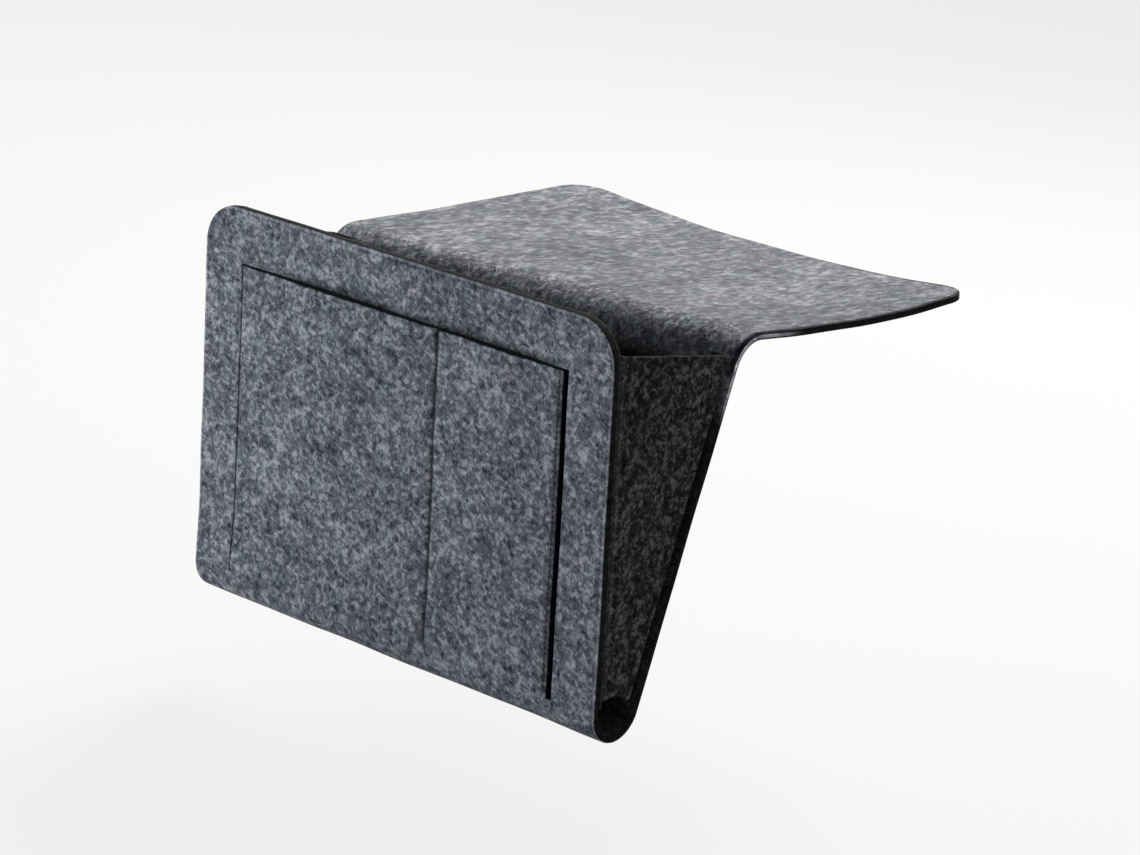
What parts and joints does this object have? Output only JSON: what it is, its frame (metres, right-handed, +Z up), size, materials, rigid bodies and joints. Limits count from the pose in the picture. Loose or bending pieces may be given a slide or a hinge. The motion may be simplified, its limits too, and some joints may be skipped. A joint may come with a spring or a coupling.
{
  "type": "hanging bedside bag",
  "caption": "Folded felt bag that hangs beside a bed from a wide flap gripped under the mattress, with a flat front pocket, side gussets and a cable way through its bottom fold.",
  "frame": {"origin": "middle of the mattress flap's underside, which lies on the bed base; the flap is shown sagging, with nothing on it, and its middle is flat", "axes": "+Z up, square to the flap; +Y from the bag's front towards the bed and the flap's free end; +X to the right as seen from the front, along the folds"},
  "size_m": [0.33, 0.3584, 0.2563],
  "materials": {
    "grey_felt": "thick pressed wool felt, blue-grey with light and dark fibres, matt",
    "lining_felt": "thinner dark grey felt, matt",
    "charcoal_felt": "charcoal felt, nearly black, matt"
  },
  "bodies": {
    "flap": {"mattress_flap": "grey_felt", "flap_bend": "grey_felt"},
    "back": {"back_panel": "grey_felt", "bottom_fold": "grey_felt", "side_gusset_right": "charcoal_felt", "side_gusset_left": "charcoal_felt"},
    "front": {"front_panel": "grey_felt", "pocket_panel": "grey_felt", "front_lining": "lining_felt"}
  },
  "joints": [
    {"name": "flap_fold", "type": "hinge", "parent": "flap", "child": "back", "pos_m": [0, -0.116, -0.0028], "axis": [1, 0, 0], "range_deg": [-72, 100], "deforming": ["flap_bend"]},
    {"name": "front_fold", "type": "hinge", "parent": "back", "child": "front", "pos_m": [0, -0.20664, -0.21564], "axis": [-1, 0, 0], "range_deg": [0, 18], "deforming": ["side_gusset_right", "side_gusset_left"]}
  ]
}
